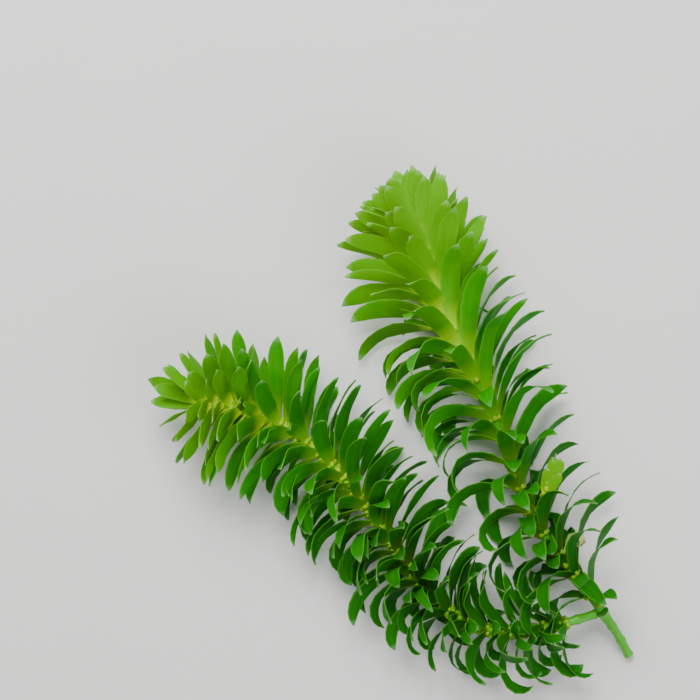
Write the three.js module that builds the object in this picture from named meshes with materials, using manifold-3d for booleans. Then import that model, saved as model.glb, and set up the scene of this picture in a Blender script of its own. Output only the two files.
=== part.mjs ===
// Brazilian waterweed (Egeria densa): a forked leafy stem, picked and lying on its own leaves.
// Millimetres, +Z up. The shoots run in the XY plane, above the surface at Z = 0.
// The origin is on that surface, under the middle of the plant.

import * as THREE from "three";
import { mergeVertices } from "three/addons/utils/BufferGeometryUtils.js";
import Module from "manifold-3d";

// Driving dimensions
const STEM_RADIUS = 1.25;
const TIP_RADIUS = 0.7;
const TAPER_LENGTH = 22; // the stem thins over this length under its growing point
const STEM_HEIGHT = 12.5; // height of the stems' axes, which the bent leaves below hold up
const KEEL_DEPTH = 0.6; // how far a leaf's keel stands out behind its flat face
const BASE_WIDTH = 0.2; // a leaf's width where it leaves the stem, as a share of its full width
const PIECE_GAP = 0.3; // clear space between pieces that meet

const KNUCKLE_SWELL = 0.4; // how much the stem swells at the fork
const KNUCKLE_LENGTH = 5; // and over what length

// The form of a leaf. Shares are of its length, counted from the stem.
const STRAP_FROM = 0.3; // the leaf reaches its full width here
const POINT_FROM = 0.75; // and narrows to its point from here
const POINT_CURVE = 1.8; // how blunt the point is
const KEEL_AT_BASE = 0.6; // the keel's depth where the leaf leaves the stem, as a share of its full depth
const BEND_CURVE = 2.1; // how late along the leaf its bend comes
const ROLLED_BY = 0.4; // the leaf has turned about its own line by here

// The scatter of the leaves: degrees, or shares of the leaf's own value
const ANGLE_SCATTER = 12;
const LEAN_SCATTER = 6;
const SWAY_SCATTER = 8;
const ROLL_SCATTER = 15;
const BEND_SCATTER = 0.3;
const LENGTH_SCATTER = 0.13;
const MOST_PER_WHORL = 7; // no whorl has more leaves, so each leaf has its own number in the scatter

// How finely the curves are stepped
const STEM_SIDES = 6;
const STEM_STEP = 7;
const ROOTED = 0.64; // a leaf starts this share of the stem's radius out from its axis
const LEAF_STEPS = 12;
const BENT_LEAF = 30; // a leaf that bends back by more degrees than this gets one section more
const CURLED_LEAF = 200; // and one that bends back by more than this has them all
const CURLED_LEAF_SECTIONS = [0, 2, 4, 5, 6, 7, 8, 9, 10, 11];
const BENT_LEAF_SECTIONS = [0, 3, 6, 10];
const STRAIGHT_LEAF_SECTIONS = [0, 4, 10];

// The middle of the plant, in the coordinates of the routes below
const MIDDLE_X = -1.9;
const MIDDLE_Y = 0.6;

// Routes of the stems' axes, from the base to the growing point
const FORK = [55, -49, 9];
const LOWER_ROUTE = [[63, -61.5, 1.4], [59.6, -55.6, 5], FORK];
const RIGHT_ROUTE = [
  FORK,
  [48.3, -40, 11.5],
  [39.2, -28.4, STEM_HEIGHT],
  [33.2, -17.8, STEM_HEIGHT],
  [27.5, -1.4, STEM_HEIGHT],
  [21, 14, STEM_HEIGHT],
  [12.7, 30.8, 13],
  [8.4, 45.1, 14],
  [4.2, 56.4, 15.5],
];
const LEFT_ROUTE = [
  FORK,
  [42, -52.4, 11],
  [29.2, -54, STEM_HEIGHT],
  [16.7, -50.8, STEM_HEIGHT],
  [4.9, -40, STEM_HEIGHT],
  [-4.6, -26.7, STEM_HEIGHT],
  [-15.4, -12.2, STEM_HEIGHT],
  [-28.4, -0.5, 13],
  [-39.2, 5.1, 15],
  [-47, 7.8, 18],
  [-52.4, 8.9, 22],
];
const SIDE_ROUTE = [
  [36.9, -21.3, 13.6],
  [38.8, -17.3, 15.6],
  [40.3, -12.6, 17.3],
];

// How the leaves change down a shoot. Each row is one distance from the growing point, in mm:
// gap to the next whorl, leaf length and width, lean away from the stem and backward bend in degrees.
const RIGHT_GROWTH = [
  { from: 0, gap: 1.5, length: 12.5, width: 3.8, lean: 10, bend: 5 },
  { from: 2.5, gap: 1.9, length: 16.5, width: 4.8, lean: 17, bend: 7 },
  { from: 6, gap: 2.5, length: 20.5, width: 5.3, lean: 26, bend: 12 },
  { from: 12, gap: 3.2, length: 24, width: 5.5, lean: 35, bend: 17 },
  { from: 20, gap: 3.9, length: 25.5, width: 5.5, lean: 42, bend: 28 },
  { from: 30, gap: 4.6, length: 26.5, width: 5.3, lean: 44, bend: 52 },
  { from: 42, gap: 5.4, length: 27, width: 5, lean: 45, bend: 78 },
  { from: 56, gap: 6.2, length: 27, width: 4.7, lean: 45, bend: 100 },
  { from: 66, gap: 6.8, length: 27, width: 4.5, lean: 46, bend: 108 },
  { from: 80, gap: 7, length: 25, width: 4.4, lean: 48, bend: 115 },
  { from: 140, gap: 7.2, length: 22, width: 4.2, lean: 52, bend: 115 },
];
const LEFT_GROWTH = [
  { from: 0, gap: 1.4, length: 13.5, width: 3.8, lean: 26, bend: 6 },
  { from: 2.5, gap: 1.8, length: 16.5, width: 4.4, lean: 42, bend: 8 },
  { from: 6, gap: 2.6, length: 19, width: 4.7, lean: 54, bend: 12 },
  { from: 12, gap: 3.5, length: 21.5, width: 4.8, lean: 61, bend: 20 },
  { from: 24, gap: 4.3, length: 22.5, width: 4.8, lean: 64, bend: 34 },
  { from: 45, gap: 4.8, length: 22.5, width: 4.6, lean: 66, bend: 56 },
  { from: 75, gap: 5.2, length: 21.5, width: 4.3, lean: 64, bend: 76 },
  { from: 95, gap: 6, length: 20, width: 4.2, lean: 60, bend: 92 },
  { from: 130, gap: 6.4, length: 18, width: 4, lean: 56, bend: 98 },
];
const SIDE_GROWTH = [
  { from: 0, gap: 1.8, length: 7, width: 2.4, lean: 3, bend: 3 },
  { from: 4, gap: 2.4, length: 9, width: 2.9, lean: 7, bend: 6 },
  { from: 12, gap: 3, length: 9, width: 2.9, lean: 11, bend: 12 },
];

// The shoots. A whorl has perWhorl leaves, or perOldWhorl from the distance oldFrom on, the first of them
// turned by phase degrees from the top, and every second whorl is turned by turn more. Right and left
// are meant from above with the tip ahead: leaves on the right stand closer to the shoot (skewLean) and
// bend back less (skewBend), those on top lie closer to it too (skewFront), and those at the sides turn
// their faces up by faceRight and faceLeft degrees, down the shoot by the share oldFace of that. The
// stem is bare over its last millimetres. The youngest whorls (inner) are enclosed by the others and
// left out, and up to the whorl named crowded, every second one fills the tip. Gone are the leaves,
// each named by its whorl and its place in it, that another shoot has no room for.
const SHOOTS = [
  {
    name: "right",
    route: RIGHT_ROUTE,
    growth: RIGHT_GROWTH,
    perWhorl: 5,
    perOldWhorl: 6,
    oldFrom: 52,
    phase: 38,
    turn: 14,
    skewLean: -11,
    skewFront: -10,
    skewBend: -0.35,
    faceRight: 68,
    faceLeft: 68,
    oldFace: 0.4,
    bare: 3,
    inner: 2,
    crowded: 8,
    gone: ["19,0"],
    seed: 1,
  },
  {
    name: "left",
    route: LEFT_ROUTE,
    growth: LEFT_GROWTH,
    perWhorl: 5,
    perOldWhorl: 5,
    oldFrom: 92,
    phase: 28,
    turn: 24,
    skewLean: -9,
    skewFront: -14,
    skewBend: -0.4,
    faceRight: 68,
    faceLeft: 62,
    oldFace: 0.6,
    bare: 11,
    inner: 2,
    crowded: 8,
    gone: ["27,0"],
    seed: 21,
  },
  {
    name: "side",
    route: SIDE_ROUTE,
    growth: SIDE_GROWTH,
    perWhorl: 4,
    perOldWhorl: 4,
    oldFrom: 200,
    phase: 30,
    turn: 30,
    skewLean: 0,
    skewFront: 0,
    skewBend: 0,
    faceRight: 68,
    faceLeft: 68,
    oldFace: 1,
    bare: 3,
    inner: 1,
    crowded: 0,
    gone: [],
    seed: 41,
  },
];
const WITHERED_LEAF = {
  from: 99,
  angle: 1.2,
  length: 14,
  width: 2.8,
  lean: 35,
  bend: 320,
  sway: 0,
  roll: 20,
  shingle: 0,
};
const FIRST_WHORL = 0.8; // distance of the youngest whorl from the growing point
const SHINGLE_SLOPE = 0.25; // crowded leaves that reach the surface lie on one another at this slope
const LOOSE_GAP = 5.8; // whorls this far apart have the full scatter; crowded leaves lie in order
const OLD_FACE_FROM = 60; // leaves this far from the growing point face up as little as old ones do

// Colours
const CROWN_GREEN = 0x6fd018;
const SHOOT_GREEN = 0x4fae1c;
const STEM_GREEN = 0x8cc63a;
const WITHERED = 0xdde3a8;

const wasm = await Module();
wasm.setup();

const UP = new THREE.Vector3(0, 0, 1);

// A repeatable scatter between 0 and 1.
function scatter(index, seed) {
  const wave = Math.sin(index * 12.9898 + seed * 78.233) * 43758.5453;
  return wave - Math.floor(wave);
}

// The same, between -half and half.
function spread(index, seed, half) {
  return (scatter(index, seed) - 0.5) * 2 * half;
}

// The growth row at a distance from the growing point, between the rows given.
function growthAt(rows, from) {
  const above = rows.findIndex((row) => from <= row.from);
  if (above < 0) return rows[rows.length - 1];
  if (above === 0) return rows[0];
  const [low, high] = [rows[above - 1], rows[above]];
  const share = (from - low.from) / (high.from - low.from);
  const mixed = {};
  for (const key of Object.keys(low)) mixed[key] = low[key] + (high[key] - low[key]) * share;
  return mixed;
}

// The curve through a route's points.
function curveOf(route) {
  const points = route.map((point) => new THREE.Vector3(...point));
  const curve = new THREE.CatmullRomCurve3(points, false, "catmullrom", 0.5);
  curve.arcLengthDivisions = 600;
  return curve;
}

// Place, direction and two sideways directions on a stem, measured from its growing point.
function stemAt(curve, from) {
  const share = 1 - from / curve.getLength();
  const place = curve.getPointAt(share);
  const ahead = curve.getTangentAt(share);
  const front = UP.clone().addScaledVector(ahead, -ahead.z).normalize();
  const right = new THREE.Vector3().crossVectors(ahead, front);
  return { place, ahead, front, right };
}

// Whether four corners, anticlockwise seen from outside, make a ridge and not a valley when they are
// folded from the first to the third.
function makesRidge(a, b, c, d) {
  const outward = b.clone().sub(a).cross(c.clone().sub(a));
  return outward.dot(d.clone().sub(a)) <= 0;
}

// One closed body through rings of points, each anticlockwise seen from the end, closed by a flat
// base and by a flat end or a point. It is convex between two rings, so a twisted one doesn't pass
// through itself.
function loft(rings, tip) {
  const sides = rings[0].length;
  const points = rings.flat();
  const faces = [];
  for (let side = 1; side < sides - 1; side++) faces.push(0, side + 1, side);
  for (let ring = 0; ring < rings.length - 1; ring++) {
    for (let side = 0; side < sides; side++) {
      const next = (side + 1) % sides;
      const low = ring * sides;
      const high = low + sides;
      const [a, b, c, d] = [low + side, low + next, high + next, high + side];
      if (makesRidge(points[a], points[b], points[c], points[d])) faces.push(a, b, c, a, c, d);
      else faces.push(a, b, d, b, c, d);
    }
  }
  const last = (rings.length - 1) * sides;
  if (tip) {
    points.push(tip);
    for (let side = 0; side < sides; side++) {
      faces.push(last + side, last + ((side + 1) % sides), points.length - 1);
    }
  } else {
    for (let side = 1; side < sides - 1; side++) faces.push(last, last + side, last + side + 1);
  }
  const geometry = new THREE.BufferGeometry().setFromPoints(points);
  geometry.setIndex(faces);
  return geometry;
}

// A stem's radius at a distance from its growing point.
function stemRadius(from) {
  const share = Math.min(1, from / TAPER_LENGTH);
  return TIP_RADIUS + (STEM_RADIUS - TIP_RADIUS) * share;
}

// A stem from the end of its curve back to a distance from it. It comes to a short point at the end.
function stemGeometry(curve, farthest, radiusAt) {
  const steps = Math.max(2, Math.round(farthest / STEM_STEP));
  const rings = [];
  for (let step = 0; step <= steps; step++) {
    const from = farthest * (1 - step / steps);
    const { place, front, right } = stemAt(curve, from);
    const radius = radiusAt(from);
    const ring = [];
    for (let side = 0; side < STEM_SIDES; side++) {
      const angle = (side / STEM_SIDES) * 2 * Math.PI;
      const point = place.clone();
      point.addScaledVector(right, radius * Math.cos(angle));
      point.addScaledVector(front, -radius * Math.sin(angle));
      ring.push(point);
    }
    rings.push(ring);
  }
  const { place, ahead } = stemAt(curve, 0);
  return loft(rings, place.clone().addScaledVector(ahead, TIP_RADIUS));
}

// A leaf's width at a share of its length: narrow at the base, a strap, then a blunt point.
function widthShare(share) {
  const base = BASE_WIDTH + (1 - BASE_WIDTH) * Math.min(1, share / STRAP_FROM);
  const toTip = Math.max(0, share - POINT_FROM) / (1 - POINT_FROM);
  return base * (1 - toTip ** POINT_CURVE);
}

// The centre line of a leaf, with the direction across it and the one out of its flat face, which
// looks towards the shoot's tip, at each step. It leans away from the stem, bends back towards the
// shoot's base, and lies along the surface where it would pass through it: on its flat face if it has
// bent over, or else on its keel.
function leafLine(curve, leaf, start) {
  const { place, ahead, front, right } = stemAt(curve, leaf.from);
  const radial = front.clone().multiplyScalar(Math.cos(leaf.angle));
  radial.addScaledVector(right, Math.sin(leaf.angle));
  const sideways = new THREE.Vector3().crossVectors(radial, ahead);
  const point = place.clone().addScaledVector(radial, start);
  const line = [];
  for (let step = 0; step <= LEAF_STEPS; step++) {
    const share = step / LEAF_STEPS;
    const lean = THREE.MathUtils.degToRad(leaf.lean + leaf.bend * share ** BEND_CURVE);
    const along = ahead.clone().multiplyScalar(Math.cos(lean)).addScaledVector(radial, Math.sin(lean));
    along.addScaledVector(sideways, Math.tan(THREE.MathUtils.degToRad(leaf.sway)) * share).normalize();
    const flat = new THREE.Vector3().crossVectors(sideways, along).normalize();
    const level = new THREE.Vector3().crossVectors(flat, along).normalize();
    const roll = THREE.MathUtils.degToRad(leaf.roll) * Math.min(1, share / ROLLED_BY);
    let across = level.clone().multiplyScalar(Math.cos(roll)).addScaledVector(flat, Math.sin(roll));
    let out = new THREE.Vector3().crossVectors(along, across);
    if (step > 0) point.addScaledVector(along, leaf.length / LEAF_STEPS);
    const lowest = (out.z < 0 ? 0 : KEEL_DEPTH) + leaf.shingle * leaf.length * (1 - share);
    if (point.z < lowest) {
      point.z = lowest;
      along.setZ(0).normalize();
      across = new THREE.Vector3(-along.y, along.x, 0).multiplyScalar(out.z < 0 ? -1 : 1);
      out = new THREE.Vector3().crossVectors(along, across);
    }
    line.push({ point: point.clone(), across: across.clone(), out: out.clone() });
  }
  return line;
}

// The steps of a leaf's centre line that get a section.
function sectionsOf(leaf) {
  if (leaf.bend > CURLED_LEAF) return CURLED_LEAF_SECTIONS;
  return leaf.bend > BENT_LEAF ? BENT_LEAF_SECTIONS : STRAIGHT_LEAF_SECTIONS;
}

// A leaf: three corners at each section, its two edges and its keel, and a point at its tip.
function leafGeometry(curve, leaf, start) {
  const line = leafLine(curve, leaf, start);
  const rings = sectionsOf(leaf).map((step) => {
    const { point, across, out } = line[step];
    const share = step / LEAF_STEPS;
    const half = (leaf.width / 2) * widthShare(share);
    const depth = KEEL_DEPTH * Math.min(1, KEEL_AT_BASE + 2 * share) * (1 - share / 2);
    const ring = [
      point.clone().addScaledVector(across, half),
      point.clone().addScaledVector(across, -half),
      point.clone().addScaledVector(out, -depth),
    ];
    for (const corner of ring) corner.z = Math.max(0, corner.z);
    return ring;
  });
  return loft(rings, line[LEAF_STEPS].point);
}

// All leaves of a shoot, whorl by whorl from its growing point down.
function leavesOf(shoot, curve) {
  const leaves = [];
  const until = curve.getLength() - shoot.bare;
  let whorl = 0;
  for (let from = FIRST_WHORL; from < until; whorl++) {
    const grown = growthAt(shoot.growth, from);
    const count = from < shoot.oldFrom ? shoot.perWhorl : shoot.perOldWhorl;
    const loose = Math.min(1, grown.gap / LOOSE_GAP) ** 2;
    for (let order = 0; order < count; order++) {
      const index = whorl * MOST_PER_WHORL + order;
      const degrees = shoot.phase + (whorl % 2) * shoot.turn + (order * 360) / count;
      const vary = (step, half) => spread(index, shoot.seed + step, half);
      const angle = THREE.MathUtils.degToRad(degrees + vary(0, ANGLE_SCATTER * loose));
      const toRight = Math.sin(angle);
      const toFront = Math.max(0, Math.cos(angle)) * Math.min(1, from / TAPER_LENGTH);
      const lean = grown.lean + shoot.skewLean * toRight + shoot.skewFront * toFront;
      const bend = grown.bend * (1 + shoot.skewBend * toRight);
      const face = toRight > 0 ? shoot.faceRight : shoot.faceLeft;
      const faceKept = 1 - (1 - shoot.oldFace) * Math.min(1, from / OLD_FACE_FROM);
      leaves.push({
        whorl,
        order,
        from,
        angle,
        length: grown.length * (1 + vary(1, LENGTH_SCATTER)),
        width: grown.width,
        lean: lean + vary(2, LEAN_SCATTER * loose),
        bend: bend * (1 + vary(3, BEND_SCATTER * loose)),
        sway: vary(4, SWAY_SCATTER * loose),
        shingle: SHINGLE_SLOPE * (1 - loose),
        roll: vary(5, ROLL_SCATTER * loose) - face * faceKept * toRight,
      });
    }
    from += grown.gap;
  }
  return leaves;
}

// Whether a leaf is there: down the shoot all but the gone ones are, and at its tip some fill it.
function isThere(shoot, { whorl, order }) {
  if (shoot.gone.includes(`${whorl},${order}`)) return false;
  return whorl >= shoot.inner && (whorl >= shoot.crowded || whorl % 2 === 0);
}

// A closed geometry as a solid.
function solidOf(geometry) {
  const bare = geometry.clone();
  bare.deleteAttribute("normal");
  bare.deleteAttribute("uv");
  const merged = mergeVertices(bare, 1e-4);
  return new wasm.Manifold(
    new wasm.Mesh({
      numProp: 3,
      vertProperties: merged.attributes.position.array,
      triVerts: new Uint32Array(merged.index.array),
    }),
  );
}

// Closed geometries that overlap, joined into one.
function fuse(geometries) {
  const joined = geometries.map(solidOf).reduce((whole, solid) => whole.add(solid));
  const mesh = joined.getMesh();
  const geometry = new THREE.BufferGeometry();
  geometry.setAttribute("position", new THREE.BufferAttribute(mesh.vertProperties, 3));
  geometry.setIndex(new THREE.BufferAttribute(mesh.triVerts, 1));
  return geometry;
}

// A named piece with its own material.
function piece(name, geometry, color, roughness) {
  geometry.computeVertexNormals();
  const material = new THREE.MeshStandardMaterial({ color, roughness, metalness: 0 });
  const mesh = new THREE.Mesh(geometry, material);
  mesh.name = name;
  return mesh;
}

// A shoot: its stem with the leaves that grow from it.
function shootPiece(shoot, baseClearance, color) {
  const curve = curveOf(shoot.route);
  const stem = stemGeometry(curve, curve.getLength() - baseClearance, stemRadius);
  const leaves = leavesOf(shoot, curve)
    .filter((leaf) => isThere(shoot, leaf))
    .map((leaf) => leafGeometry(curve, leaf, stemRadius(leaf.from) * ROOTED));
  return piece(`${shoot.name}_shoot`, fuse([stem, ...leaves]), color, 0.4);
}

// The stem below the fork, swollen into a knuckle where the two shoots part.
function lowerStemPiece() {
  const curve = curveOf(LOWER_ROUTE);
  const radiusAt = (from) => STEM_RADIUS + KNUCKLE_SWELL * Math.max(0, 1 - from / KNUCKLE_LENGTH);
  const geometry = stemGeometry(curve, curve.getLength(), radiusAt);
  return piece("lower_stem", geometry, STEM_GREEN, 0.5);
}

// The old leaf that has gone pale and curled up.
function witheredLeafPiece() {
  const curve = curveOf(RIGHT_ROUTE);
  const geometry = leafGeometry(curve, WITHERED_LEAF, STEM_RADIUS + PIECE_GAP);
  return piece("withered_leaf", geometry, WITHERED, 0.6);
}

const [rightShoot, leftShoot, sideShoot] = SHOOTS;
const knuckle = TIP_RADIUS + PIECE_GAP;
const plant = new THREE.Group();
plant.add(shootPiece(rightShoot, knuckle, SHOOT_GREEN));
plant.add(shootPiece(leftShoot, STEM_RADIUS + KNUCKLE_SWELL + PIECE_GAP, SHOOT_GREEN));
plant.add(shootPiece(sideShoot, 0, CROWN_GREEN));
plant.add(lowerStemPiece());
plant.add(witheredLeafPiece());

plant.position.set(-MIDDLE_X, -MIDDLE_Y, 0);

export default plant;
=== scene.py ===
import math

import bpy
import numpy as np
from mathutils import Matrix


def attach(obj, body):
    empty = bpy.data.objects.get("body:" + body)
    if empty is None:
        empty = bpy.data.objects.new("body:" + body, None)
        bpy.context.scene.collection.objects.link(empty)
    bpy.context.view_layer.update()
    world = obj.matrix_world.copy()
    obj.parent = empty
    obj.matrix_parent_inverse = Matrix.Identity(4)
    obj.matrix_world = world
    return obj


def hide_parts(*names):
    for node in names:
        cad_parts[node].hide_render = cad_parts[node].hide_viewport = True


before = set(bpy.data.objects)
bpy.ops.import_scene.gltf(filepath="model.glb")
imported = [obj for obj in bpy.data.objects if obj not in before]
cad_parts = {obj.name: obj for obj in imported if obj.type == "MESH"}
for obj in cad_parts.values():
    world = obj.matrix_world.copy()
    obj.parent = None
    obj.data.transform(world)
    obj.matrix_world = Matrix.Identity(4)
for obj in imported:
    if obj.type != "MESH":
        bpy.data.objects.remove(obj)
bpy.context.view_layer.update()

# Brazilian waterweed (Egeria densa): a forked leafy stem, picked and lying on its own leaves.
# Lengths in this file are millimetres until a mesh is made, and metres from there on.

bl_info = {
    "name": "Waterweed sprig",
    "version": (1, 0, 0),
    "blender": (4, 5, 0),
    "location": "View3D > Sidebar > Waterweed",
    "description": "Builds a forked sprig of waterweed with whorls of strap leaves",
    "category": "Add Mesh",
}

MM = 0.001

# The stems
STEM_RADIUS = 1.25
TIP_RADIUS = 0.7
TAPER_LENGTH = 22
STEM_HEIGHT = 12.5
BARE_INTERNODE = 5  # length of the internodes where no leaf marks them
KNUCKLE_SWELL = 0.4
KNUCKLE_LENGTH = 5
LOWER_INTERNODES = 3
LOWER_OLDER = 0.7  # added to the age of the lower stem, from 0 for new to 1
JOINT_WIDTH = 1.16  # an internode's width at its joints, as a share of the stem's
STEM_SIDES = 14
OLD_DISTANCE = 120  # leaves this far from the growing point are as old as the plant has

# The form of a leaf. Shares are of its length, counted from the stem. It is BASE_WIDTH of its full
# width at the stem and full from STRAP_FROM on, and it draws in to a blunt point from POINT_FROM on:
# late if POINT_CURVE is large, and with full cheeks if POINT_ROUND is small.
STRAP_FROM = 0.3
POINT_FROM = 0.72
POINT_CURVE = 2.2
POINT_ROUND = 0.85
BASE_WIDTH = 0.55
BEND_CURVE = 2.1
ROLLED_BY = 0.4
LEAF_STEPS = 12
ROOTED = 0.64
FLOOR_LIFT = 0.6  # a leaf that lies on its keel has its centre line this far up
MASTER_LENGTH = 26
MASTER_WIDTH = 5
MASTER_ROWS = [0, 0.06, 0.14, 0.25, 0.38, 0.52, 0.66, 0.77, 0.86, 0.93, 0.975]
POINT_WIDTH = 0.1  # the blade's very tip, as a share of its width
RIPPLE = 0.2  # how far a leaf's edges wave up and down, and how often
RIPPLES = 2.2
TWIST = 45  # degrees that a leaf turns about itself towards its tip
STRAY = 2.4  # how far its tip strays sideways
TWIST_CURVE = 1.5  # twist and stray grow along the leaf by these powers
STRAY_CURVE = 2
LEAST_TWIST = 0.3  # shares of twist and stray that the most crowded leaves keep
LEAST_STRAY = 0.2
LEAST_FOLD = 0.6  # the fold of the flattest leaf, as a share of the modelled one

# The scatter of the leaves: degrees, or shares of the leaf's own value
ANGLE_SCATTER = 12
LEAN_SCATTER = 6
SWAY_SCATTER = 8
ROLL_SCATTER = 15
BEND_SCATTER = 0.3
LENGTH_SCATTER = 0.13
MOST_PER_WHORL = 7
FIRST_WHORL = 0.8
SHINGLE_SLOPE = 0.25
LOOSE_GAP = 5.8
OLD_FACE_FROM = 60

# The short leaf more that each whorl has over the front of its stem
FRONT_ANGLE = 30
FRONT_LENGTH = 0.55
FRONT_LEAN = 36
FRONT_BEND = 135

# The smaller leaves between two whorls: shares of a whorl leaf's values, and degrees round the stem
BETWEEN_LENGTH = 0.95
BETWEEN_WIDTH = 0.66
BETWEEN_FACE = 0.5
BETWEEN_TURN = 45
BETWEEN_SCATTER = 30
BETWEEN_SEED = 61

# The second swelling in an axil: how far it is nearer the tip, and how far round the stem in radians
BEAD_STEP = 2.2
BEAD_TURN = 0.7

# The middle of the plant and that of the picture, in the coordinates of the routes below
MIDDLE = np.array([-1.9, 0.6, 0.0])
PHOTO_MIDDLE_X = -13.5
PHOTO_MIDDLE_Y = 22.14

# Routes of the stems' axes, from the base to the growing point
FORK = (55, -49, 9)
LOWER_ROUTE = [(63, -61.5, 1.4), (59.6, -55.6, 5), FORK]
RIGHT_ROUTE = [
    FORK,
    (48.3, -40, 11.5),
    (39.2, -28.4, STEM_HEIGHT),
    (33.2, -17.8, STEM_HEIGHT),
    (27.5, -1.4, STEM_HEIGHT),
    (21, 14, STEM_HEIGHT),
    (12.7, 30.8, 13),
    (8.4, 45.1, 14),
    (4.2, 56.4, 15.5),
]
LEFT_ROUTE = [
    FORK,
    (42, -52.4, 11),
    (29.2, -54, STEM_HEIGHT),
    (16.7, -50.8, STEM_HEIGHT),
    (4.9, -40, STEM_HEIGHT),
    (-4.6, -26.7, STEM_HEIGHT),
    (-15.4, -12.2, STEM_HEIGHT),
    (-28.4, -0.5, 13),
    (-39.2, 5.1, 15),
    (-47, 7.8, 18),
    (-52.4, 8.9, 22),
]
SIDE_ROUTE = [(36.9, -21.3, 13.6), (38.8, -17.3, 15.6), (40.3, -12.6, 17.3)]

# How the leaves change down a shoot. Each row is one distance from the growing point, in mm: the
# gap to the next whorl, leaf length and width, lean away from the stem and backward bend in degrees.
GROWTH_KEYS = ("from", "gap", "length", "width", "lean", "bend")
RIGHT_GROWTH = [
    (0, 1.5, 12.5, 3.8, 10, 5),
    (2.5, 1.9, 16.5, 4.8, 17, 7),
    (6, 2.5, 20.5, 5.3, 26, 12),
    (12, 3.2, 24, 5.5, 35, 17),
    (20, 3.9, 25.5, 5.5, 42, 28),
    (30, 4.6, 26.5, 5.3, 44, 52),
    (42, 5.4, 27, 5, 45, 78),
    (56, 6.2, 27, 4.7, 45, 100),
    (66, 6.8, 27, 4.5, 46, 108),
    (80, 7, 25, 4.4, 48, 115),
    (140, 7.2, 22, 4.2, 52, 115),
]
LEFT_GROWTH = [
    (0, 1.4, 13.5, 3.8, 26, 6),
    (2.5, 1.8, 16.5, 4.4, 42, 8),
    (6, 2.6, 19, 4.7, 54, 12),
    (12, 3.5, 21.5, 4.8, 61, 20),
    (24, 4.3, 22.5, 4.8, 64, 34),
    (45, 4.8, 22.5, 4.6, 66, 56),
    (75, 5.2, 21.5, 4.3, 64, 76),
    (95, 6, 20, 4.2, 60, 92),
    (130, 6.4, 18, 4, 56, 98),
]
SIDE_GROWTH = [
    (0, 1.8, 7, 2.4, 3, 3),
    (4, 2.4, 9, 2.9, 7, 6),
    (12, 3, 9, 2.9, 11, 12),
]

# The shoots. A whorl has per_whorl leaves, or per_old_whorl from the distance old_from on, the first
# of them turned by phase degrees from the top, and every second whorl is turned by turn more. Leaves
# on the right of a shoot, seen from above with its tip ahead, stand closer to it (skew_lean) and bend
# back less (skew_bend), and those at the front stand closer too (skew_front). Leaves at the sides turn
# their faces up by face_right or face_left degrees, of which old_face is kept on the old stem. The stem
# is bare over its last millimetres, and starts a little clear of the fork. Gone are the leaves, each
# named by its whorl and its place in it, that have no room to grow. From the distance front_from on,
# each whorl has a short leaf more at the front. Between two of the whorls in between_whorls grow as
# many smaller leaves as between says, but not where the cosine of their turn from the front passes
# between_front. Every leaf has so many beads, swellings of the axil. Older is added to a leaf's age.
SHOOTS = {
    "right_shoot": dict(
        route=RIGHT_ROUTE, growth=RIGHT_GROWTH, seed=1, slot="shoot",
        per_whorl=5, per_old_whorl=6, old_from=52, phase=38, turn=14, gone=[(19, 0)],
        skew_lean=-11, skew_front=-10, skew_bend=-0.35, face_right=68, face_left=68, old_face=0.4,
        clear=1, bare=3, older=0, beads=1,
        front_from=60, between=5, between_whorls=range(2, 16), between_front=0.6,
    ),
    "left_shoot": dict(
        route=LEFT_ROUTE, growth=LEFT_GROWTH, seed=21, slot="shoot",
        per_whorl=5, per_old_whorl=5, old_from=92, phase=28, turn=24, gone=[(27, 0)],
        skew_lean=-9, skew_front=-14, skew_bend=-0.4, face_right=68, face_left=62, old_face=0.6,
        clear=1.95, bare=11, older=0.16, beads=2,
        front_from=60, between=4, between_whorls=range(4, 40), between_front=1,
    ),
    "side_shoot": dict(
        route=SIDE_ROUTE, growth=SIDE_GROWTH, seed=41, slot="young_shoot",
        per_whorl=4, per_old_whorl=4, old_from=200, phase=30, turn=30, gone=[],
        skew_lean=0, skew_front=0, skew_bend=0, face_right=68, face_left=68, old_face=1,
        clear=0, bare=3, older=0, beads=1,
        front_from=200, between=0, between_whorls=range(0), between_front=1,
    ),
}
WITHERED_LEAF = {
    "from": 99, "angle": 1.2, "length": 14, "width": 2.8, "lean": 35, "bend": 320,
    "sway": 0, "roll": 20, "shingle": 0, "age": 1, "tint": 0.5, "shade": 0.5, "twist": 0, "stray": 0,
}
PIECE_GAP = 0.3

# Tolerances, in metres or as a share of an internode, and the angle in degrees past which an edge
# stays sharp
SAME_PLACE = 1e-7
SAME_SHARE = 1e-5
WELD = 0.00002
SHARP_ANGLE = 50

# The stage, in metres, with the camera's lens and sensor in millimetres
FLOOR_SIZE = 6
FLOOR_DROP = 0.0002
KEY_PLACE = (-0.12, 0.42, 0.62)
KEY_SIZE = 0.45
FILL_PLACE = (0.45, -0.35, 0.5)
FILL_SIZE = 0.6
LENS = 120
SENSOR = 36
NEAREST_SEEN = 0.01

# Names in the meshes, and the places of their materials
LEAF_SLOT = 0
STEM_SLOT = 1
NODULE_SLOT = 2
UV_NAME = "across_along"
AGE = "age"
TINT = "tint"
# the attribute that carries each leaf's painted shade
PAINTED_SHADE = "shade"


# Small helpers

def scatter(index, seed):
    """A repeatable scatter between 0 and 1."""
    wave = math.sin(index * 12.9898 + seed * 78.233) * 43758.5453
    return wave - math.floor(wave)


def spread(index, seed, half):
    """The same, between -half and half."""
    return (scatter(index, seed) - 0.5) * 2 * half


def unit(vector):
    return vector / np.linalg.norm(vector)


def row_at(rows, distance):
    """The growth row at a distance from the growing point, between the rows given."""
    table = np.array(rows, float)
    values = [np.interp(distance, table[:, 0], table[:, column]) for column in range(table.shape[1])]
    return dict(zip(GROWTH_KEYS, values))


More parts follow.
